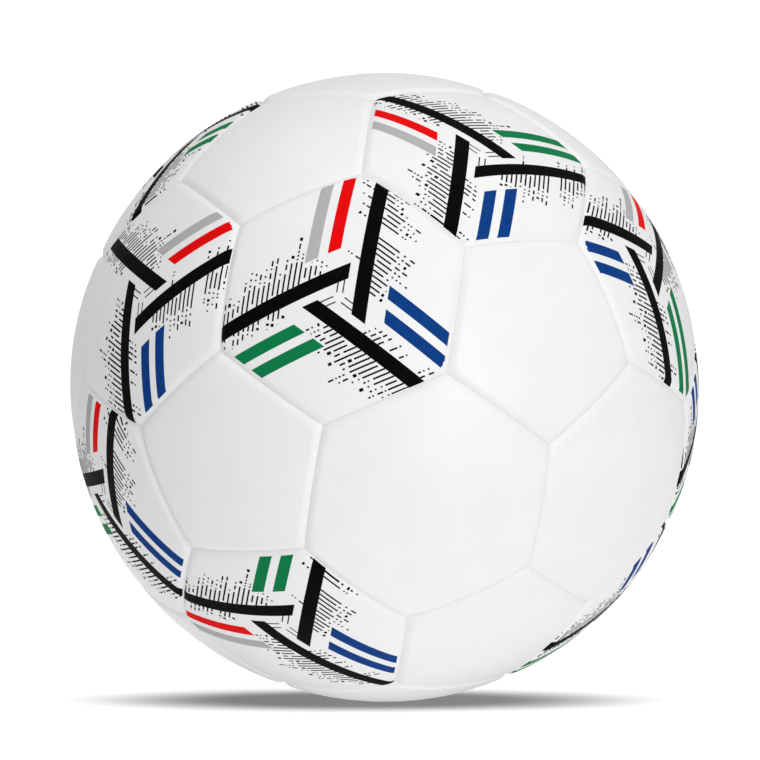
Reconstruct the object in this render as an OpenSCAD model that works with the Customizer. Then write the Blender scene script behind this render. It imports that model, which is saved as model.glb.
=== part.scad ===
// Soccer ball of 32 stitched panels around an inflated rubber bladder.
// 20 hexagons and 12 pentagons meet in the seams of a truncated icosahedron.
// The origin is the ball's centre, +Z is up, and the ball rests at [0, 0, -ball_d / 2].

/* [Ball] */
// Outer diameter, about 220 for a size 5 ball
ball_d = 220; // [200:1:230]
// How far the ball is rolled about the Y axis from standing on a pentagon
roll_angle = 35.3; // [0:0.1:72]

/* [Panels] */
// Thickness of the synthetic leather skin
skin_t = 1.4; // [1.2:0.1:1.6]
// Thickness of the foam bonded under the skin
foam_t = 2.6; // [2.2:0.1:3]
// Thickness of the woven lining bonded under the foam
lining_t = 1.2; // [0.8:0.1:1.4]
// Radius of the rolled edge where a panel turns down into its seam
edge_round = 3; // [2.6:0.1:3.6]

/* [Stitching] */
// Stitches along each seam
stitch_count = 7; // [5:1:8]
// Width of the flat waxed thread
thread_w = 0.8; // [0.6:0.05:0.85]
// Depth of the stitch line below the ball's surface
stitch_depth = 3.7; // [3.5:0.1:4]

/* [Bladder] */
// Wall thickness of the rubber bladder
bladder_t = 1; // [0.6:0.1:1.5]

/* [Valve] */
// Diameter of the hole through the valve panel
valve_hole_d = 8; // [7.6:0.1:9]
// Outer diameter of the stem inside the bladder
stem_d = 11; // [10:0.5:13]
// Length of the stem below the bladder's wall
stem_len = 14; // [12:0.5:18]
// Diameter of the disc that bonds the stem to the bladder
stem_disc_d = 32; // [26:1:40]
// Diameter of the removable core's shank
core_d = 5; // [4.6:0.1:5.4]
// Diameter of the lead-in bore for a pump needle
needle_d = 2.3; // [2:0.1:2.6]
// Length of the lead-in bore
needle_len = 8; // [6:0.5:10]

/* [Hidden] */
$fn = 96;
gap = 0.1;                 // clearance between layers that only touch
far = 400;                 // larger than anything in the ball
ball_r = ball_d / 2;

// The truncated icosahedron, from its edge length
edge_len = ball_r * 4 / sqrt(58 + 18 * sqrt(5));
pent_corner = edge_len / (2 * sin(36));
hex_dist = sqrt(pow(ball_r, 2) - pow(edge_len, 2));
pent_dist = sqrt(pow(ball_r, 2) - pow(pent_corner, 2));
hex_half = atan(edge_len * cos(30) / hex_dist);
pent_half = atan(pent_corner * cos(36) / pent_dist);
seam_half = asin(edge_len / 2 / ball_r);

// Angles from the pole to each ring of panel centres, from the top down
pent_ring = atan(2);
hex_cap = hex_half + pent_half;
hex_band = hex_cap + 2 * hex_half;

// Where each panel lies, as [angle from the pole, longitude, turn about its own centre]
hex_places = [
    for (k = [0:4]) [hex_cap, 36 + 72 * k, 0],
    for (k = [0:4]) [hex_band, 36 + 72 * k, 0],
    for (k = [0:4]) [180 - hex_band, 72 + 72 * k, 0],
    for (k = [0:4]) [180 - hex_cap, 72 + 72 * k, 0]
];
pent_places = [
    [0, 36, 0],
    for (k = [0:4]) [pent_ring, 72 * k, 0],
    for (k = [0:4]) [180 - pent_ring, 36 + 72 * k, 180],
    [180, 36, 0]
];

// The seams between two hexagons, as [hexagon, seam], each listed once
hex_seams = [
    for (i = [1:5]) for (seam = [0, 2]) [i, seam],
    for (i = [6:10]) for (seam = [1, 5]) [i, seam],
    for (i = [16:20]) for (seam = [1, 3]) [i, seam]
];

// Layers, as radii from the ball's centre
foam_r = ball_r - skin_t;
lining_r = foam_r - foam_t;
inner_r = lining_r - lining_t;
bladder_r = inner_r - gap;

// The thread runs along both sides of a seam's two turned-in edges
thread_off = skin_t + thread_w / 2 + 0.05;
thread_room = skin_t + thread_w + 0.2;
stitch_r = ball_r - stitch_depth;
stitch_reach = seam_half * 0.8;
stitch_step = 2 * stitch_reach / (stitch_count - 1);

// The valve stands at the centre of one hexagon, on its axis
valve_panel = 7;
head_top = ball_r - 1;
head_t = 1.2;
head_d = valve_hole_d - 0.4;
neck_top = head_top - head_t;
neck_d = valve_hole_d - 2 * gap;
stem_bottom = bladder_r - bladder_t - stem_len;
stem_disc_t = 1.5;
core_fit = 0.05;           // radial clearance of the core in its stem
core_tip = 1;              // how far the core's tip passes the stem
mouth_d = needle_d + 1.2;
mouth_t = 0.8;

function two_digits(i) = str(i < 10 ? "0" : "", i);
hex_nodes = [for (i = [1:20]) str("hexagon_", two_digits(i))];
pent_nodes = [for (i = [1:12]) str("pentagon_", two_digits(i))];

// Turns a shape drawn on +Z to a panel's place on the ball
module at_place(place) {
    rotate([0, roll_angle, 0])
        rotate([0, place[0], place[1]])
            rotate([0, 0, place[2]])
                children();
}

// Turns a shape to one seam of a panel: x = 0 is the seam's plane and the panel lies at x < 0
module at_seam(seam, seams, half) {
    rotate([0, 0, seam * 360 / seams])
        rotate([0, half, 0])
            children();
}

// A sphere whose poles lie on Y, clear of a panel on +Z
module globe(r) {
    rotate([90, 0, 0])
        sphere(r);
}

// The wedge of a ball between a panel's seams, held back from each seam by an inset
module wedge(r, seams, half, inset) {
    difference() {
        globe(r);
        for (seam = [0:seams - 1])
            at_seam(seam, seams, half)
                translate([-inset, -far, -far])
                    cube([far, 2 * far, 2 * far]);
    }
}

// What is cut off along a seam to leave a panel's rolled edge
module edge_cutter() {
    lap = edge_round * 0.8;
    lift = 0.05;
    reach = seam_half + 3;
    rotate([0, -90, 0])
        rotate([0, 0, -reach])
            rotate_extrude(angle = 2 * reach)
                difference() {
                    translate([ball_r - edge_round, -1])
                        square([edge_round + 2, lap + 1]);
                    translate([ball_r - edge_round + lift, lap])
                        circle(edge_round);
                }
}

// The awl holes along one seam
module stitch_holes() {
    for (i = [0:stitch_count - 1])
        rotate([-stitch_reach + i * stitch_step, 0, 0])
            translate([-thread_room, 0, stitch_r])
                rotate([0, 90, 0])
                    cylinder(h = 2 * thread_room, d = thread_w + gap, $fn = 24);
}

// A panel's skin, with its edges turned in along the seams
module skin(seams, half) {
    difference() {
        wedge(ball_r, seams, half, 0);
        wedge(foam_r, seams, half, skin_t);
        globe(inner_r);
        for (seam = [0:seams - 1])
            at_seam(seam, seams, half) {
                edge_cutter();
                stitch_holes();
            }
    }
}

// One bonded layer under a panel's skin
module layer(outer, inner, seams, half) {
    difference() {
        wedge(outer, seams, half, thread_room);
        globe(inner);
    }
}

module valve_hole() {
    cylinder(h = ball_r + 1, d = valve_hole_d);
}

module hexagon(i) {
    color("white")
        at_place(hex_places[i - 1])
            difference() {
                skin(6, hex_half);
                if (i == valve_panel)
                    valve_hole();
            }
}

module pentagon(i) {
    color("white")
        at_place(pent_places[i - 1])
            skin(5, pent_half);
}

module hexagon_layer(outer, inner) {
    for (i = [1:20])
        at_place(hex_places[i - 1])
            difference() {
                layer(outer, inner, 6, hex_half);
                if (i == valve_panel)
                    valve_hole();
            }
}

module pentagon_layer(outer, inner) {
    for (place = pent_places)
        at_place(place)
            layer(outer, inner, 5, pent_half);
}

module hexagon_foam() {
    color("khaki")
        hexagon_layer(foam_r, lining_r);
}

module pentagon_foam() {
    color("khaki")
        pentagon_layer(foam_r, lining_r);
}

module hexagon_lining() {
    color("lightsteelblue")
        hexagon_layer(lining_r, inner_r);
}

module pentagon_lining() {
    color("lightsteelblue")
        pentagon_layer(lining_r, inner_r);
}

// One seam's thread: a run along each side and the stitches through both edges
module seam_stitches() {
    for (side = [-1, 1])
        translate([side * thread_off, 0, 0])
            rotate([0, 90, 0])
                rotate([0, 0, 180 - stitch_reach])
                    rotate_extrude(angle = 2 * stitch_reach)
                        translate([stitch_r - thread_w / 2, -thread_w / 2])
                            square(thread_w);
    for (i = [0:stitch_count - 1])
        rotate([-stitch_reach + i * stitch_step, 0, 0])
            translate([-thread_off, 0, stitch_r])
                rotate([0, 90, 0])
                    cylinder(h = 2 * thread_off, d = thread_w * 0.9, $fn = 24);
}

// The thread in the five seams of every pentagon
module pentagon_thread() {
    color("ivory")
        for (place = pent_places)
            at_place(place)
                for (seam = [0:4])
                    at_seam(seam, 5, pent_half)
                        seam_stitches();
}

// The thread in the seams between two hexagons
module hexagon_thread() {
    color("ivory")
        for (pair = hex_seams)
            at_place(hex_places[pair[0] - 1])
                at_seam(pair[1], 6, hex_half)
                    seam_stitches();
}

module bladder() {
    color("dimgray")
        difference() {
            sphere(bladder_r);
            sphere(bladder_r - bladder_t);
            at_place(hex_places[valve_panel - 1])
                cylinder(h = ball_r, d = neck_d);
        }
}

module valve_stem() {
    color("black")
        at_place(hex_places[valve_panel - 1])
            difference() {
                union() {
                    intersection() {
                        sphere(bladder_r - bladder_t);
                        cylinder(h = ball_r, d = stem_disc_d);
                    }
                    translate([0, 0, neck_top - 12])
                        cylinder(h = 12, d = neck_d);
                }
                difference() {
                    sphere(bladder_r - bladder_t - stem_disc_t);
                    translate([0, 0, stem_bottom])
                        cylinder(h = ball_r, d = stem_d);
                }
                cylinder(h = ball_r, d = core_d + 2 * core_fit);
            }
}

module valve_core() {
    color("black")
        at_place(hex_places[valve_panel - 1])
            difference() {
                union() {
                    translate([0, 0, stem_bottom - core_tip])
                        cylinder(h = neck_top - stem_bottom + core_tip, d = core_d);
                    translate([0, 0, neck_top])
                        cylinder(h = head_t, d = head_d);
                }
                translate([0, 0, head_top - mouth_t - needle_len])
                    cylinder(h = needle_len + mouth_t + 1, d = needle_d);
                translate([0, 0, head_top - mouth_t])
                    cylinder(h = mouth_t, d1 = needle_d, d2 = mouth_d);
            }
}

for (i = [1:20]) hexagon(i);
for (i = [1:12]) pentagon(i);
hexagon_foam();
pentagon_foam();
hexagon_lining();
pentagon_lining();
hexagon_thread();
pentagon_thread();
bladder();
valve_stem();
valve_core();
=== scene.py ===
import math
import random

import bmesh
import bpy
import numpy as np
from mathutils import Matrix, Vector


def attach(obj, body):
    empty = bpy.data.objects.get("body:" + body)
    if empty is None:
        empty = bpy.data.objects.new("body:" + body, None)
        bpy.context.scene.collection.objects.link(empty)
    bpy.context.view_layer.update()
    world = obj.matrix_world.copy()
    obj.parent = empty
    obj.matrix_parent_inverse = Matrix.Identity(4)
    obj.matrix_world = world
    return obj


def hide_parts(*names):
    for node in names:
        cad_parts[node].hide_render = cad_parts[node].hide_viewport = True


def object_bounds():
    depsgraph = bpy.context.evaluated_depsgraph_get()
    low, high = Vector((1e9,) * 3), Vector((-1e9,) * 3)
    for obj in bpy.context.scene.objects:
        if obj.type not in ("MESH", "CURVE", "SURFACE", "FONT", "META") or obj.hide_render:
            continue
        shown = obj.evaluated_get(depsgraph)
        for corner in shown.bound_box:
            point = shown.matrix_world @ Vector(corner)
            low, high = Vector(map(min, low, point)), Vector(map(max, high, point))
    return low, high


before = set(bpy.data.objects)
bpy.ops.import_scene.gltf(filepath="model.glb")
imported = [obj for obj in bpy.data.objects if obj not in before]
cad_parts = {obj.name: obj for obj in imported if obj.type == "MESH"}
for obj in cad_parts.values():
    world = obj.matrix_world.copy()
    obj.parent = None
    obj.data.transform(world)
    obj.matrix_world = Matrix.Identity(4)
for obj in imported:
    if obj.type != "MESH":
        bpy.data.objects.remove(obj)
cad_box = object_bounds()

# Lengths are in millimetres until a mesh is made, and MM turns them into metres.
MM = 0.001
BALL_R = round((cad_box[1].z - cad_box[0].z) / 2 / MM, 1)

# The truncated icosahedron that the seams follow, turned about Y as the ball lies.
ROLL = math.radians(35.3)
EDGE = BALL_R * 4 / math.sqrt(58 + 18 * math.sqrt(5))
PENT_CORNER = EDGE / (2 * math.sin(math.radians(36)))
HEX_HALF = math.atan(EDGE * math.cos(math.radians(30)) / math.sqrt(BALL_R**2 - EDGE**2))
PENT_HALF = math.atan(PENT_CORNER * math.cos(math.radians(36)) / math.sqrt(BALL_R**2 - PENT_CORNER**2))
SEAM_HALF = math.asin(EDGE / 2 / BALL_R)
VALVE_PANEL = "hexagon_07"

# A panel's skin: how its face sinks into a seam and swells, and the edge turned in below.
SKIN_T = 1.4
SEAM_DEPTH = 0.95
SEAM_REACH = 2.5
SEAM_CURVE = 1.5
SEAM_GAP = 0.02
CORNER_SOFT = 1.0
PUFF = 0.3
PUFF_REACH = 7.0
PUCKER = 0.1
PUCKER_REACH = 2.5
CORNER_SINK = 1.12
UNEVEN = 0.12
UNEVEN_WAVES = 8
UNEVEN_PITCH = 9
THIN_EDGE = 0.6
TURNED_IN = 5.2
TURN_FROM = 106.5
TURN_BEVEL = 0.3
TURN_ROUND = 0.4
STITCHES = 7
STITCH_SPAN = 0.8

# The mesh of a panel: rows of cells from its middle, then finer rows beside the seam.
LATTICE_ROWS = 30
LATTICE_EDGE = 6.0
CROWDING = 0.55
EDGE_ROWS = [5.2, 4.5, 3.9, 3.3, 2.8, 2.3, 1.9, 1.5, 1.15, 0.85, 0.6, 0.4, 0.25, 0.12, SEAM_GAP]


# --- Where the panels lie ---

def turn(axis, angle):
    """A rotation about one axis, as a numpy matrix."""
    return np.array(Matrix.Rotation(angle, 3, axis))


def place(polar, longitude, spin=0.0):
    """The rotation that takes a panel drawn about +Z to its place on the ball."""
    return turn("Z", math.radians(longitude)) @ turn("Y", polar) @ turn("Z", math.radians(spin))


def panel_places():
    """Each panel's name with its number of sides, half width and rotation."""
    cap = HEX_HALF + PENT_HALF
    band = cap + 2 * HEX_HALF
    ring = math.atan(2)
    fifth = [72 * k for k in range(5)]
    hexagons = [place(cap, 36 + a) for a in fifth]
    hexagons += [place(band, 36 + a) for a in fifth]
    hexagons += [place(math.pi - band, 72 + a) for a in fifth]
    hexagons += [place(math.pi - cap, 72 + a) for a in fifth]
    pentagons = [place(0, 36)]
    pentagons += [place(ring, a) for a in fifth]
    pentagons += [place(math.pi - ring, 36 + a, 180) for a in fifth]
    pentagons += [place(math.pi, 36)]
    rolled = turn("Y", ROLL)
    places = {f"hexagon_{i:02d}": (6, HEX_HALF, rolled @ m) for i, m in enumerate(hexagons, 1)}
    places.update({f"pentagon_{i:02d}": (5, PENT_HALF, rolled @ m) for i, m in enumerate(pentagons, 1)})
    return places


# --- The shape of a panel's face ---

def seam_frames(sides, half):
    """For each seam of a panel: the outward normal of its plane, its middle and its direction."""
    around = 2 * np.pi * np.arange(sides) / sides
    out = np.stack([np.cos(around), np.sin(around), np.zeros(sides)], 1)
    along = np.stack([-np.sin(around), np.cos(around), np.zeros(sides)], 1)
    up = np.array([0.0, 0.0, 1.0])
    normal = math.cos(half) * out - math.sin(half) * up
    middle = math.sin(half) * out + math.cos(half) * up
    return normal, middle, along


def row_directions(sides, half, distance, count):
    """Unit directions of the points at one distance from the seams, count of them beside each seam."""
    step = np.arange(count) / count
    crowd = min(1.0, count / LATTICE_ROWS) ** 2 * CROWDING
    step = (1 - crowd) * step + crowd * (0.5 - 0.5 * np.cos(np.pi * step))
    tilt = np.arctan(math.tan(math.pi / sides) * (2 * step - 1))
    a = math.sin(half)
    b = math.cos(half) * np.cos(tilt)
    polar = np.arccos(np.clip(math.sin(distance / BALL_R) / np.hypot(a, b), -1, 1)) - np.arctan2(b, a)
    around = (2 * np.pi * np.arange(sides)[:, None] / sides + tilt).ravel()
    polar = np.tile(polar, sides)
    return np.stack([np.sin(polar) * np.cos(around), np.sin(polar) * np.sin(around), np.cos(polar)], 1)


def seam_distance(points, sides, half):
    """How far each direction is from the seams, with the corners rounded off, in millimetres."""
    normal = seam_frames(sides, half)[0]
    each = BALL_R * np.arcsin(np.clip(-points @ normal.T, -1, 1))
    return -CORNER_SOFT * np.log(np.exp(-each / CORNER_SOFT).sum(1)), each


def uneven(points):
    """The slight unevenness of an inflated ball, for directions on the whole ball."""
    rng = np.random.default_rng(5)
    waves = rng.normal(size=(UNEVEN_WAVES, 3)) * UNEVEN_PITCH
    shifts = rng.uniform(0, 2 * np.pi, UNEVEN_WAVES)
    return UNEVEN * np.sin(points @ waves.T + shifts).mean(1) * 2


def face_radius(points, sides, half, turned):
    """The radius of a panel's face in each direction, in the panel's own frame."""
    near, each = seam_distance(points, sides, half)
    sink = SEAM_DEPTH * np.clip(1 - near / SEAM_REACH, 0, CORNER_SINK) ** SEAM_CURVE
    puff = PUFF * np.exp(-np.clip(near, 0, None) / PUFF_REACH)
    middle, along = seam_frames(sides, half)[1:]
    swing = np.arctan2(points @ along.T, points @ middle.T)
    stitch = 2 * SEAM_HALF * STITCH_SPAN / (STITCHES - 1)
    pull = 0.5 + 0.5 * np.cos(2 * np.pi * swing / stitch)
    pucker = (PUCKER * pull * np.exp(-((each / PUCKER_REACH) ** 2))).sum(1)
    return BALL_R - sink - puff - pucker + uneven(points @ turned.T)


def flat(points):
    """Directions near +Z laid flat about it, in millimetres."""
    polar = np.arccos(np.clip(points[:, 2], -1, 1))
    flat_length = np.hypot(points[:, 0], points[:, 1])
    scale = np.divide(BALL_R * polar, flat_length, out=np.zeros_like(polar), where=flat_length > 0)
    return points[:, :2] * scale[:, None]


# --- Meshes from rows ---

class Rows:
    """A closed skin made of rows of points, each row joined to the one before it."""

    def __init__(self, sides):
        self.sides = sides
        self.points = []
        self.faces = []
        self.total = 0
        self.last = None

    def add(self, points, count):
        """Adds a row with count points a side, or one point where count is 0."""
        start = self.total
        self.points.append(np.atleast_2d(points))
        self.total += len(self.points[-1])
        if self.last is not None:
            self.join(self.last, (start, count))
        self.last = (start, count)

    def join(self, first, second):
        """Faces between two rows, each given as its first point and its count of points a side."""
        a, m = first
        b, n = second
        s = self.sides
        if m == n:
            for i in range(s * n):
                j = (i + 1) % (s * n)
                self.faces.append((a + i, b + i, b + j, a + j))
            return
        small, few, big, many, flip = (a, m, b, n, False) if m < n else (b, n, a, m, True)
        for side in range(s):
            for i in range(many):
                o0 = big + (side * many + i) % (s * many)
                o1 = big + (side * many + i + 1) % (s * many)
                i0 = small + (side * few + i) % max(1, s * few)
                i1 = small + (side * few + i + 1) % max(1, s * few)
                made = [(o0, o1, i0)]
                if i < many - 1:
                    made.append((o1, i1, i0))
                self.faces += [f[::-1] if flip else f for f in made]


def new_object(name, points, faces, material, smooth_angle=50):
    """A mesh object from points in millimetres, smooth except at edges sharper than the angle."""
    mesh = bpy.data.meshes.new(name)
    mesh.from_pydata([tuple(p) for p in np.asarray(points) * MM], [], faces)
    mesh.update()
    mesh.shade_smooth()
    mesh.set_sharp_from_angle(angle=math.radians(smooth_angle))
    mesh.materials.append(material)
    obj = bpy.data.objects.new(name, mesh)
    bpy.context.scene.collection.objects.link(obj)
    return obj


def circle_directions(sides, half, radius, count):
    """Directions on a circle about +Z, in step with the lattice row of that count."""
    ring = row_directions(sides, half, LATTICE_EDGE, count)
    around = np.arctan2(ring[:, 1], ring[:, 0])
    polar = np.full(len(around), radius / BALL_R)
    return np.stack([np.sin(polar) * np.cos(around), np.sin(polar) * np.sin(around), np.cos(polar)], 1)


# The valve's hole: its radius, its rounded rim, and the lattice row that meets the rim.
HOLE_R = 4.0
HOLE_ROUND = 0.5
HOLE_STEPS = 3
HOLE_ROWS = 4


def panel_mesh(sides, half, turned, hole):
    """One panel's closed skin in its own frame: its points and faces, the number of faces in the
    outer face, which come first, and the directions of that face's points."""
    rows = Rows(sides)
    apothem = BALL_R * half
    face_dirs = []

    def face_row(dirs, count, lower=0.0):
        face_dirs.append(dirs)
        rows.add(dirs * (face_radius(dirs, sides, half, turned) - lower)[:, None], count)

    first = 0
    if hole:
        first = HOLE_ROWS
        for k in range(HOLE_STEPS + 1):
            swing = math.pi / 2 * k / HOLE_STEPS
            ring = circle_directions(sides, half, HOLE_R + HOLE_ROUND * (1 - math.cos(swing)), first)
            face_row(ring, first, HOLE_ROUND * (1 - math.sin(swing)))
    for j in range(first, LATTICE_ROWS + 1):
        distance = LATTICE_EDGE + (apothem - LATTICE_EDGE) * (1 - j / LATTICE_ROWS)
        face_row(np.array([[0.0, 0, 1]]) if j == 0 else row_directions(sides, half, distance, j), j)
    for distance in EDGE_ROWS:
        face_row(row_directions(sides, half, distance, LATTICE_ROWS), LATTICE_ROWS)
    face_count = len(rows.faces)

    inner = BALL_R - TURNED_IN
    under = BALL_R - SKIN_T
    seam = row_directions(sides, half, SEAM_GAP, LATTICE_ROWS)
    fold = row_directions(sides, half, SKIN_T, LATTICE_ROWS)
    for r in (TURN_FROM, inner + TURN_ROUND):
        rows.add(seam * r, LATTICE_ROWS)
    for distance in (TURN_BEVEL, SKIN_T - TURN_BEVEL):
        rows.add(row_directions(sides, half, distance, LATTICE_ROWS) * inner, LATTICE_ROWS)
    rows.add(fold * (inner + TURN_ROUND), LATTICE_ROWS)

    def under_row(dirs, count):
        radius = np.minimum(under, face_radius(dirs, sides, half, turned) - THIN_EDGE)
        rows.add(dirs * radius[:, None], count)

    under_row(fold, LATTICE_ROWS)
    for j in range(LATTICE_ROWS, first - 1, -1):
        distance = LATTICE_EDGE + (apothem - LATTICE_EDGE) * (1 - j / LATTICE_ROWS)
        under_row(np.array([[0.0, 0, 1]]) if j == 0 else row_directions(sides, half, distance, j), j)
    if hole:
        under_row(circle_directions(sides, half, HOLE_R, first), first)
        rows.join(rows.last, (0, first))
    return np.concatenate(rows.points), rows.faces, face_count, np.concatenate(face_dirs)


# --- Materials ---

def node_material(name, colour, roughness, **sockets):
    """A Principled material with the values that are the same all over its surface."""
    material = bpy.data.materials.new(name)
    material.use_nodes = True
    shader = material.node_tree.nodes["Principled BSDF"]
    shader.inputs["Base Color"].default_value = (*colour, 1)
    shader.inputs["Roughness"].default_value = roughness
    for key, value in sockets.items():
        shader.inputs[key.replace("_", " ")].default_value = value
    return material, shader


class Nodes:
    """Short ways to add the nodes of one material."""

    def __init__(self, material):
        self.tree = material.node_tree
        self.where = self.add("ShaderNodeTexCoord").outputs["Object"]

    def add(self, kind, **settings):
        node = self.tree.nodes.new(kind)
        for key, value in settings.items():
            setattr(node, key, value)
        return node

    def link(self, source, target):
        self.tree.links.new(source, target)

    def noise(self, size_mm, detail=2.0):
        node = self.add("ShaderNodeTexNoise")
        self.link(self.where, node.inputs["Vector"])
        node.inputs["Scale"].default_value = 1 / (size_mm * MM)
        node.inputs["Detail"].default_value = detail
        return node.outputs["Fac"]

    def cells(self, size_mm, feature="SMOOTH_F1"):
        node = self.add("ShaderNodeTexVoronoi", feature=feature)
        self.link(self.where, node.inputs["Vector"])
        node.inputs["Scale"].default_value = 1 / (size_mm * MM)
        return node.outputs["Distance"]

    def grain(self):
        """The pebbled grain of the skin, which the ink takes too."""
        return self.math("ADD", self.cells(0.7), self.math("MULTIPLY", self.noise(0.35), 0.5))

    def colours(self, factor, first, second, shader):
        """Mixes two colours by a factor into the shader's base colour."""
        mix = self.add("ShaderNodeMix", data_type="RGBA")
        self.link(factor, mix.inputs[0])
        for name, colour in (("A", first), ("B", second)):
            next(s for s in mix.inputs if s.name == name and s.type == "RGBA").default_value = (*colour, 1)
        self.link(mix.outputs[2], shader.inputs["Base Color"])

    def spread(self, value, low, high, start=0.3, end=0.7):
        node = self.add("ShaderNodeMapRange")
        self.link(value, node.inputs["Value"])
        node.inputs["From Min"].default_value = start
        node.inputs["From Max"].default_value = end
        node.inputs["To Min"].default_value = low
        node.inputs["To Max"].default_value = high
        return node.outputs["Result"]

    def math(self, operation, first, second):
        node = self.add("ShaderNodeMath", operation=operation)
        for socket, value in zip(node.inputs, (first, second)):
            if isinstance(value, (int, float)):
                socket.default_value = value
            else:
                self.link(value, socket)
        return node.outputs["Value"]

    def bump(self, height, depth_mm, strength=1.0, below=None):
        node = self.add("ShaderNodeBump")
        self.link(height, node.inputs["Height"])
        node.inputs["Distance"].default_value = depth_mm * MM
        node.inputs["Strength"].default_value = strength
        if below is not None:
            self.link(below, node.inputs["Normal"])
        return node.outputs["Normal"]


def skin_material():
    """White synthetic leather: a fine pebbled grain and a satin lacquer."""
    material, shader = node_material("panel_skin", (0.8, 0.8, 0.8), 0.4, Specular_IOR_Level=0.5)
    n = Nodes(material)
    n.colours(n.spread(n.noise(14, 3), 0, 1), (0.8, 0.8, 0.802), (0.775, 0.777, 0.785), shader)
    n.link(n.spread(n.noise(5), 0.36, 0.46), shader.inputs["Roughness"])
    swell = n.bump(n.noise(7), 0.05, 0.5)
    n.link(n.bump(n.grain(), 0.03, 0.35, swell), shader.inputs["Normal"])
    return material


def ink_material(name, colour, other):
    """Screen-printed ink: matt, a little patchy, and it takes the grain below."""
    material, shader = node_material(name, colour, 0.6, Specular_IOR_Level=0.03)
    n = Nodes(material)
    n.colours(n.spread(n.noise(2.5, 3), 0, 1), colour, other, shader)
    n.link(n.spread(n.noise(3), 0.55, 0.68), shader.inputs["Roughness"])
    n.link(n.bump(n.grain(), 0.02, 0.3), shader.inputs["Normal"])
    return material


def soft_material(name, light, dark, size_mm, depth_mm, roughness):
    """A matt material with cells of one size, for foam, cloth, thread and rubber."""
    material, shader = node_material(name, light, roughness)
    n = Nodes(material)
    cells = n.cells(size_mm, "F1")
    n.colours(n.spread(cells, 0, 1, 0.1, 0.8), light, dark, shader)
    patchy = n.spread(n.noise(size_mm * 4), roughness - 0.06, roughness + 0.06)
    n.link(patchy, shader.inputs["Roughness"])
    n.link(n.bump(cells, depth_mm, 0.6), shader.inputs["Normal"])
    return material


INKS = {
    "black": ink_material("ink_black", (0.0005, 0.0005, 0.0006), (0.002, 0.002, 0.0023)),
    "blue": ink_material("ink_blue", (0.002, 0.038, 0.19), (0.004, 0.046, 0.22)),
    "green": ink_material("ink_green", (0.003, 0.17, 0.056), (0.004, 0.19, 0.065)),
    "red": ink_material("ink_red", (0.76, 0.001, 0.002), (0.7, 0.002, 0.003)),
    "grey": ink_material("ink_grey", (0.42, 0.42, 0.425), (0.4, 0.4, 0.405)),
}
SKIN = skin_material()


# --- The print ---

# Each heading has a bar to the right of the centre, a pair of stripes to its left and two thin
# spokes from the centre. A margin is what a shape keeps from the seam. FAR is off the panel.
BAR_W = 4.9
BAR_OFFSET = 7.3
BAR_END = 2.1
STRIPE_W = 4.1
STRIPE_OFFSETS = (11.4, 18.5)
STRIPE_START = 15.9
SPOKE_W = 0.42
SPOKE_OFFSET = 1.0
SPOKE_START = 1.6
FAR = 60.0
BAR_MARGIN = 0.3
STRIPE_MARGIN = 1.3
HATCH_MARGIN = 0.4
FILM = 0.03

# The hatch beside a bar: fine lines that break up into dashes and, here and there, broad blots.
# Lines between STRIPES_FROM and STRIPES_TO end at HATCH_CLEAR, short of the next stripes.
HATCH_PITCH = 1.7
HATCH_W = 0.6
BLOT_W = 1.05
HATCH_RIGHT = 15.0
HATCH_LEFT = 4.0
SHARE_RIGHT = 0.95
SHARE_LEFT = 0.5
HATCH_FROM = 1.0
HATCH_LEFT_FROM = 14.0
HATCH_TO = 44.0
HATCH_SWELL = 0.8
HATCH_CLEAR = 15.2
STRIPES_FROM = 1.6
STRIPES_TO = 13.8
BLOT_SHARE = 0.18

# For each printed panel: the pinwheel's centre, the first bar's angle, the pair of stripes
# beside each bar, and 1, or -1 for the mirrored print.
PRINTS = {
    "hexagon_01": ((0.0, 2.0), 30, ("blue", "green", "red"), 1),
    "hexagon_02": ((1.5, -2.0), 90, ("green", "red", "blue"), 1),
    "hexagon_04": ((4.7, 2.3), 32, ("blue", "red", "green"), 1),
    "hexagon_05": ((-1.2, -10.0), 27.5, ("green", "blue", "red"), 1),
    "hexagon_06": ((-2.0, 1.0), 30, ("red", "blue", "green"), 1),
    "hexagon_08": ((-3.0, -12.0), 90, ("blue", None, "green"), -1),
    "hexagon_09": ((2.1, 2.2), 90, ("blue", "green", "red"), 1),
    "hexagon_11": ((2.0, 3.0), 90, ("blue", "red", "green"), 1),
    "hexagon_13": ((0.0, 3.6), 30, ("blue", None, "red"), 1),
    "hexagon_15": ((-6.0, -9.0), 90, ("red", "green", "blue"), 1),
    "hexagon_16": ((0.0, -3.0), 30, ("green", "blue", "red"), 1),
    "hexagon_17": ((-3.0, 0.0), 90, ("red", "green", "blue"), 1),
    "hexagon_18": ((-4.1, -0.8), 59, ("blue", "green", "red"), 1),
    "hexagon_19": ((-7.5, -5.4), 90, ("blue", "red", "green"), 1),
    "pentagon_02": ((1.0, -8.0), 84, ("red", "green", "blue"), 1),
}
PAIR_INKS = {"blue": ("blue", "blue"), "green": ("green", "green"), "red": ("red", "grey")}


def right_of(angle):
    """The unit vector to the right of a direction."""
    return np.array([math.sin(angle), -math.cos(angle)])


def band(angle, offset, width, start, stop):
    """A band along a direction: offset to its right, between two distances."""
    along = np.array([math.cos(angle), math.sin(angle)])
    across = right_of(angle)
    near, far = offset - width / 2, offset + width / 2
    return [along * start + across * far, along * stop + across * far,
            along * stop + across * near, along * start + across * near]


def cut(polygon, normal, limit):
    """The part of a convex polygon where the distance along a normal is under a limit."""
    kept = []
    for p, q in zip(polygon, polygon[1:] + polygon[:1]):
        a, b = p[:2] @ normal - limit, q[:2] @ normal - limit
        if a <= 0:
            kept.append(p)
        if a * b < 0:
            kept.append(p + (q - p) * (a / (a - b)))
    return kept


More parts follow.
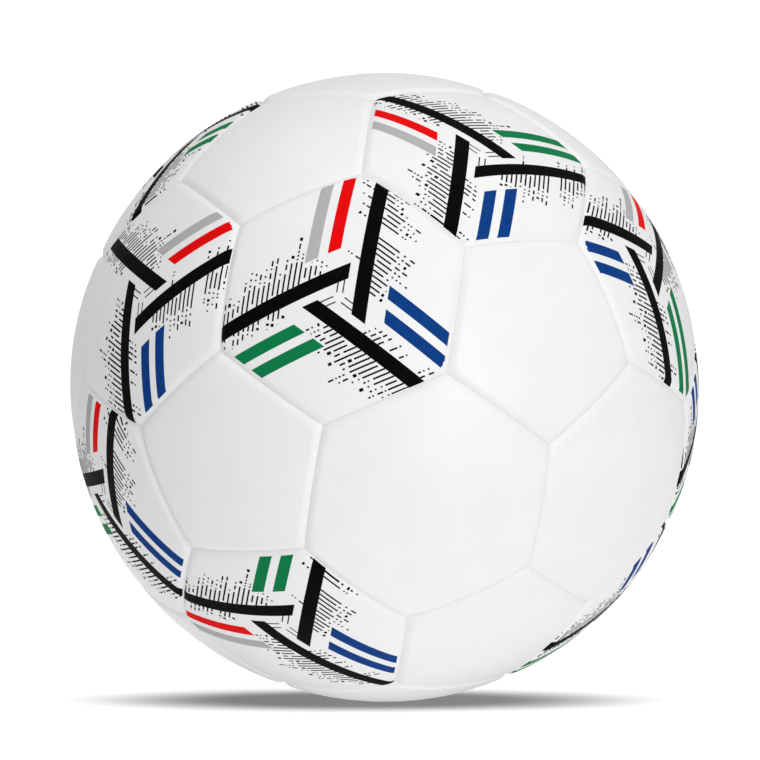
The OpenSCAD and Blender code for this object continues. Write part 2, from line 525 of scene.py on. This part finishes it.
def hatch_line(rng, start, direction, reach, limit):
    """One line of the hatch as bands from a point: unbroken at first, then dashes and dots."""
    marks = []
    along = rng.choice((0.0, 0.0, 0.0, 0.0, 0.8, 1.6))
    solid = reach * rng.uniform(0.7, 1.0)
    if solid > along + 0.4:
        marks.append((along, solid, HATCH_W))
    along = max(along, solid)
    stop = reach + rng.choice((0.0, 1.0, 2.5, 5.0))
    while along < stop:
        along += rng.uniform(0.6, 1.8)
        broad = rng.random() < BLOT_SHARE
        dash = rng.uniform(0.8, 1.5) if broad else rng.choice((0.55, 0.55, 0.8, 2.0))
        marks.append((along, along + dash, BLOT_W if broad else HATCH_W))
        along += dash
    across = np.array([-direction[1], direction[0]])
    made = []
    for a, b, w in marks:
        if a < limit:
            p, q = start + direction * a, start + direction * min(b, limit)
            made.append([p - across * w / 2, q - across * w / 2, q + across * w / 2, p + across * w / 2])
    return made


def bar_hatch(rng, heading, slant):
    """The hatch on both sides of a bar: long lines on its right and short ones on its left."""
    along = np.array([math.cos(heading), math.sin(heading)])
    across = right_of(heading)
    direction = np.array([math.cos(slant), math.sin(slant)])
    lean = abs(math.sin(heading - slant))
    made = []
    for side, longest, share, at in (
        (1, HATCH_RIGHT, SHARE_RIGHT, HATCH_FROM),
        (-1, HATCH_LEFT, SHARE_LEFT, HATCH_LEFT_FROM),
    ):
        offset = BAR_OFFSET + side * BAR_W / 2
        while at < HATCH_TO:
            start = across * offset + along * at
            swell = math.sin(math.pi * (at - HATCH_FROM) / (HATCH_TO - HATCH_FROM)) ** HATCH_SWELL
            reach = longest * swell * rng.uniform(0.35, 1.0)
            across_stripes = -(start @ right_of(slant))
            limit = FAR if side > 0 else HATCH_LEFT + 1
            if side > 0 and STRIPES_FROM < across_stripes < STRIPES_TO:
                limit = (HATCH_CLEAR - offset) / lean
            if rng.random() < share:
                made += hatch_line(rng, start, direction * side, reach, limit)
            at += HATCH_PITCH / lean
    return made


def pinwheel(angle, pairs):
    """The whole print about its centre, as (ink, polygon, the margin it keeps from the seam)."""
    drawn = []
    rng = random.Random(3)
    third = math.radians(120)
    for k, pair in enumerate(pairs):
        heading = math.radians(angle) - k * third
        crossing = right_of(heading + third)
        bar = cut(band(heading, BAR_OFFSET, BAR_W, -FAR, FAR), right_of(heading - third), BAR_END)
        drawn.append(("black", bar, BAR_MARGIN))
        for side in (-1, 1):
            spoke = band(heading, side * SPOKE_OFFSET, SPOKE_W, SPOKE_START, FAR)
            drawn.append(("black", cut(spoke, crossing, BAR_OFFSET - BAR_W / 2), BAR_MARGIN))
        if pair:
            for ink, offset in zip(PAIR_INKS[pair], STRIPE_OFFSETS):
                stripe = band(heading, BAR_OFFSET - offset, STRIPE_W, -FAR, FAR)
                drawn.append((ink, cut(stripe, -crossing, -STRIPE_START), STRIPE_MARGIN))
        drawn += [("black", line, HATCH_MARGIN) for line in bar_hatch(rng, heading, heading - third)]
    return drawn


def print_islands(spec, cells, flats, solids, near):
    """Every printed shape of a panel, cut to the panel's own cells and grouped by ink."""
    centre, angle, pairs, mirror = spec
    centre = np.array(centre)
    flip = np.array([1.0, mirror])
    inked = {}
    quads = np.array([c if len(c) == 4 else (*c, c[-1]) for c in cells])
    for ink, polygon, margin in pinwheel(angle, pairs):
        polygon = [(p + centre) * flip for p in polygon]
        area = sum(p[0] * q[1] - p[1] * q[0] for p, q in zip(polygon, polygon[1:] + polygon[:1]))
        if area < 0:
            polygon = polygon[::-1]
        edges = []
        for p, q in zip(polygon, polygon[1:] + polygon[:1]):
            way = q - p
            outward = np.array([way[1], -way[0]]) / np.hypot(*way)
            edges.append((outward, outward @ p))
        beyond = np.stack([flats @ normal - limit for normal, limit in edges], 1)[quads]
        inside_margin = (near[quads] > margin).all(1)
        touched = ~(beyond > 0).all(1).any(1) & inside_margin
        whole = (beyond <= 0).all((1, 2))
        island = []
        for index in np.nonzero(touched)[0]:
            corners = [np.concatenate([flats[v], solids[v]]) for v in cells[index]]
            if not whole[index]:
                for normal, limit in edges:
                    corners = cut(corners, normal, limit)
                    if len(corners) < 3:
                        break
            if len(corners) > 2:
                island.append([c[2:] for c in corners])
        if island:
            inked.setdefault(ink, []).append(island)
    return inked


WELD = 0.002
SLIVER = 0.001


def film_object(name, islands, material, turned):
    """A printed film as thin closed slabs that lie on the panel's own facets."""
    points, faces = [], []
    for island in islands:
        sheet = bmesh.new()
        for corners in island:
            sheet.faces.new([sheet.verts.new(c) for c in corners])
        bmesh.ops.remove_doubles(sheet, verts=sheet.verts, dist=WELD)
        bmesh.ops.dissolve_degenerate(sheet, edges=sheet.edges, dist=SLIVER)
        sheet.verts.index_update()
        count, base = len(sheet.verts), len(points)
        upper = [np.array(v.co) * (1 + FILM / v.co.length) for v in sheet.verts]
        lower = [np.array(v.co) * (1 - FILM / v.co.length) for v in sheet.verts]
        points += upper + lower
        for f in sheet.faces:
            ring = [base + v.index for v in f.verts]
            faces.append(ring)
            faces.append([i + count for i in reversed(ring)])
        for e in sheet.edges:
            if len(e.link_faces) == 1:
                loop = e.link_loops[0]
                a, b = base + loop.vert.index, base + loop.link_loop_next.vert.index
                faces.append([b, a, a + count, b + count])
        sheet.free()
    placed = np.array(points) @ turned.T
    obj = new_object(name, placed, faces, material, 30)
    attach(obj, "ball")


def build_panel(name, sides, half, turned):
    """One panel's skin in place of its CAD node, with its print where it has one."""
    points, faces, face_count, dirs = panel_mesh(sides, half, turned, name == VALVE_PANEL)
    panel = new_object(name + "_skin", points @ turned.T, faces, SKIN)
    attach(panel, "ball")
    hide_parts(name)
    if name in PRINTS:
        near = seam_distance(dirs, sides, half)[0]
        inked = print_islands(PRINTS[name], faces[:face_count], flat(dirs), points[:len(dirs)], near)
        for ink, islands in inked.items():
            film_object(f"{name}_print_{ink}", islands, INKS[ink], turned)


for panel_name, (panel_sides, panel_half, panel_turn) in panel_places().items():
    build_panel(panel_name, panel_sides, panel_half, panel_turn)


# --- The pieces inside, which keep their CAD shapes ---

VALVE_RUBBER = soft_material("valve_rubber", (0.018, 0.018, 0.019), (0.03, 0.03, 0.031), 0.6, 0.02, 0.5)


def finish_inside():
    """Gives each CAD node below the panels its own material."""
    looks = {
        "foam": soft_material("foam", (0.62, 0.58, 0.45), (0.45, 0.41, 0.3), 0.8, 0.2, 0.9),
        "lining": soft_material("lining", (0.5, 0.55, 0.62), (0.32, 0.36, 0.42), 0.9, 0.15, 0.85),
        "thread": soft_material("thread", (0.78, 0.76, 0.7), (0.55, 0.53, 0.47), 0.4, 0.1, 0.6),
        "bladder": soft_material("bladder_rubber", (0.03, 0.03, 0.032), (0.06, 0.06, 0.062), 6, 0.05, 0.55),
        "valve": VALVE_RUBBER,
    }
    for name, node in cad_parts.items():
        for word, material in looks.items():
            if word in name:
                node.data.materials.clear()
                node.data.materials.append(material)


finish_inside()


# --- The valve: a moulded stem and the core that pulls out of it ---

LATHE_COUNT = 96
HEAD_TOP = BALL_R - 1.0
NECK_TOP = HEAD_TOP - 1.2
HEAD_R = 3.8
SHANK_R = 2.5
BORE_R = 2.55
NECK_R = 3.9
STEM_R = 5.5
FLANGE_R = 16.0
FLANGE_TOP = 103.7
FLANGE_T = 1.5
STEM_BOTTOM = 89.7
CORE_TIP = 88.7
MOUTH_R = 1.75
MOUTH_T = 0.8
NEEDLE_R = 1.15
NEEDLE_LEN = 8.0
RIB = 0.14


def lathe(name, profile, body, node):
    """A piece turned about the valve's axis, from (radius, height) points in a loop, up its outside."""
    points, faces, ring_of = [], [], []
    around = 2 * np.pi * np.arange(LATHE_COUNT) / LATHE_COUNT
    for radius, height in profile:
        count = 1 if radius == 0 else LATHE_COUNT
        ring_of.append([len(points) + i % count for i in range(LATHE_COUNT)])
        points += [(radius * math.cos(a), radius * math.sin(a), height) for a in around[:count]]
    for low, high in zip(ring_of, ring_of[1:] + ring_of[:1]):
        for i in range(LATHE_COUNT):
            j = (i + 1) % LATHE_COUNT
            corners = list(dict.fromkeys((low[i], low[j], high[j], high[i])))
            if len(corners) > 2:
                faces.append(corners)
    axis = panel_places()[VALVE_PANEL][2]
    piece = new_object(name, np.array(points) @ axis.T, faces, VALVE_RUBBER, 40)
    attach(piece, body)
    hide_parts(node)


def core_profile():
    """The core: a ribbed shank, a round-edged head with a ring in it, and the needle's bore."""
    profile = [(0, CORE_TIP), (1.9, CORE_TIP), (2.3, CORE_TIP + 0.2), (SHANK_R, CORE_TIP + 0.7)]
    for middle in np.arange(92.0, 106.0, 2.5):
        for step, depth in ((-0.6, 0), (-0.35, RIB), (0.35, RIB), (0.6, 0)):
            profile.append((SHANK_R - depth, middle + step))
    profile += [(SHANK_R, NECK_TOP + 0.02), (HEAD_R - 0.3, NECK_TOP + 0.02)]
    profile += [(HEAD_R - 0.08, NECK_TOP + 0.09), (HEAD_R, NECK_TOP + 0.3)]
    profile += [(HEAD_R, HEAD_TOP - 0.35), (HEAD_R - 0.11, HEAD_TOP - 0.11)]
    profile += [(HEAD_R - 0.35, HEAD_TOP), (3.1, HEAD_TOP), (3.0, HEAD_TOP - 0.13), (2.8, HEAD_TOP - 0.18)]
    profile += [(2.6, HEAD_TOP - 0.13), (2.5, HEAD_TOP), (MOUTH_R, HEAD_TOP)]
    bore_end = HEAD_TOP - MOUTH_T - NEEDLE_LEN
    return profile + [(NEEDLE_R, HEAD_TOP - MOUTH_T), (NEEDLE_R, bore_end), (0, bore_end)]


def stem_profile():
    """The stem: a neck through the panel, a flange bonded below the bladder and a thick tube."""
    profile = [(BORE_R, NECK_TOP), (NECK_R - 0.25, NECK_TOP), (NECK_R, NECK_TOP - 0.25)]
    for radius in (NECK_R, 6, 8, 10, 12, 14, FLANGE_R - 0.4):
        profile.append((radius, math.sqrt(FLANGE_TOP**2 - radius**2)))
    rim = math.sqrt(FLANGE_TOP**2 - FLANGE_R**2)
    profile += [(FLANGE_R, rim - 0.3), (FLANGE_R, rim - 0.6), (FLANGE_R - 0.3, rim - 0.8)]
    for radius in (14, 12, 10, 8):
        profile.append((radius, math.sqrt((FLANGE_TOP - FLANGE_T) ** 2 - radius**2) + 0.03 * (radius - 8)))
    low = FLANGE_TOP - FLANGE_T
    profile += [(6.8, low - 0.6), (6.0, low - 1.1), (STEM_R, low - 2.1), (STEM_R, STEM_BOTTOM + 0.8)]
    profile += [(STEM_R - 0.25, STEM_BOTTOM + 0.25), (STEM_R - 0.8, STEM_BOTTOM)]
    profile += [(BORE_R + 0.2, STEM_BOTTOM), (BORE_R, STEM_BOTTOM + 0.2)]
    return profile[::-1]


lathe("valve_core_plug", core_profile(), "core", "valve_core")
lathe("valve_stem_tube", stem_profile(), "ball", "valve_stem")


# --- The floor, the light and the camera ---

# The floor and the lights are in metres.
FLOOR_R = 1.6
FLOOR_DROP = 0.0001
FLOOR_FADE = (0.45, 0.95)
# The floor's whiteness is a painted glow of FLOOR_GLOW on a dark grey floor. Within SHADOW_FROM of the ball
# the glow drops to SHADOW_GLOW, a painted shadow that rises to full glow at SHADOW_TO, stretched front to
# back by SHADOW_FLATTEN and shifted sideways by SHADOW_SHIFT.
FLOOR_COLOUR = 0.25
FLOOR_GLOW = 0.84
SHADOW_GLOW = 0.03
SHADOW_FROM = 0.045
SHADOW_TO = 0.118
SHADOW_FLATTEN = 2.6
SHADOW_SHIFT = 0.007
WORLD_LIGHT = 0.65
BACKDROP = 1.1


def make_floor():
    """A dark grey round floor that glows white away from the ball, dims to a painted shadow around it over
    the shadow the ball really casts, and fades into the backdrop.
    """
    bpy.ops.mesh.primitive_circle_add(vertices=128, radius=FLOOR_R, fill_type="NGON",
                                      location=(0, 0, cad_box[0].z - FLOOR_DROP))
    floor = bpy.context.object
    floor.name = "floor"
    material, shader = node_material("floor", (FLOOR_COLOUR,) * 3, 0.9, Specular_IOR_Level=0.2)
    shader.inputs["Emission Color"].default_value = (1, 1, 1, 1)
    tree = material.node_tree
    out = tree.nodes["Material Output"]
    clear = tree.nodes.new("ShaderNodeBsdfTransparent")
    mix = tree.nodes.new("ShaderNodeMixShader")
    where = tree.nodes.new("ShaderNodeTexCoord")
    stretched = tree.nodes.new("ShaderNodeVectorMath")
    stretched.operation = "MULTIPLY_ADD"
    stretched.inputs[1].default_value = (1, SHADOW_FLATTEN, 1)
    stretched.inputs[2].default_value = (SHADOW_SHIFT, 0, 0)
    length = tree.nodes.new("ShaderNodeVectorMath")
    length.operation = "LENGTH"
    tree.links.new(where.outputs["Object"], stretched.inputs[0])
    tree.links.new(stretched.outputs["Vector"], length.inputs[0])

    def rise(near, far, low, high):
        ramp = tree.nodes.new("ShaderNodeMapRange")
        ramp.interpolation_type = "SMOOTHSTEP"
        for socket, value in (("From Min", near), ("From Max", far), ("To Min", low), ("To Max", high)):
            ramp.inputs[socket].default_value = value
        tree.links.new(length.outputs["Value"], ramp.inputs["Value"])
        return ramp.outputs["Result"]

    # Painted shadow: the glow dims in an ellipse about the ball, stretched front to back and shifted
    # sideways.
    glow = rise(SHADOW_FROM, SHADOW_TO, SHADOW_GLOW, FLOOR_GLOW)
    tree.links.new(glow, shader.inputs["Emission Strength"])
    fade = rise(FLOOR_R * FLOOR_FADE[0], FLOOR_R * FLOOR_FADE[1], 0, 1)
    tree.links.new(fade, mix.inputs["Fac"])
    tree.links.new(shader.outputs["BSDF"], mix.inputs[1])
    tree.links.new(clear.outputs["BSDF"], mix.inputs[2])
    tree.links.new(mix.outputs["Shader"], out.inputs["Surface"])
    floor.data.materials.append(material)
    # The light from below passes through the floor, as it does in a white tent.
    floor.visible_diffuse = False
    floor.visible_shadow = False


def make_world():
    """An even grey light all round, in front of a white backdrop."""
    world = bpy.data.worlds.new("studio")
    world.use_nodes = True
    bpy.context.scene.world = world
    tree = world.node_tree
    light = tree.nodes["Background"]
    light.inputs["Color"].default_value = (1, 1, 1, 1)
    light.inputs["Strength"].default_value = WORLD_LIGHT
    backdrop = tree.nodes.new("ShaderNodeBackground")
    backdrop.inputs["Color"].default_value = (1, 1, 1, 1)
    backdrop.inputs["Strength"].default_value = BACKDROP
    path = tree.nodes.new("ShaderNodeLightPath")
    mix = tree.nodes.new("ShaderNodeMixShader")
    tree.links.new(path.outputs["Is Camera Ray"], mix.inputs["Fac"])
    tree.links.new(light.outputs["Background"], mix.inputs[1])
    tree.links.new(backdrop.outputs["Background"], mix.inputs[2])
    tree.links.new(mix.outputs["Shader"], tree.nodes["World Output"].inputs["Surface"])


def softbox(name, azimuth, elevation, distance, width, height, power):
    """A rectangle of soft light aimed at the ball."""
    data = bpy.data.lights.new(name, "AREA")
    data.shape = "RECTANGLE"
    data.size, data.size_y, data.energy = width, height, power
    lamp = bpy.data.objects.new(name, data)
    a, e = math.radians(azimuth), math.radians(elevation)
    back = Vector((math.sin(a) * math.cos(e), -math.cos(a) * math.cos(e), math.sin(e)))
    lamp.location = back * distance
    lamp.rotation_euler = (-back).to_track_quat("-Z", "Y").to_euler()
    bpy.context.scene.collection.objects.link(lamp)


def make_camera():
    """A long lens level with the ball, as the product picture was framed."""
    distance = 14 * BALL_R * MM
    elevation = math.radians(2.1)
    share = 0.4136
    sensor = 36
    data = bpy.data.cameras.new("camera")
    data.sensor_width = sensor
    data.lens = share * sensor / math.tan(math.asin(BALL_R * MM / distance))
    data.shift_x, data.shift_y = -0.006, 0.0097
    camera = bpy.data.objects.new("camera", data)
    back = Vector((0, -math.cos(elevation), math.sin(elevation)))
    camera.location = back * distance
    camera.rotation_euler = (-back).to_track_quat("-Z", "Y").to_euler()
    bpy.context.scene.collection.objects.link(camera)
    bpy.context.scene.camera = camera


make_floor()
make_world()
softbox("key", 25, 8, 1.8, 0.9, 1.8, 15)
softbox("top", 0, 80, 1.6, 2.0, 2.0, 8)
softbox("below", 0, -90, 1.2, 1.2, 1.2, 5)
make_camera()
bpy.context.scene.view_settings.view_transform = "Standard"
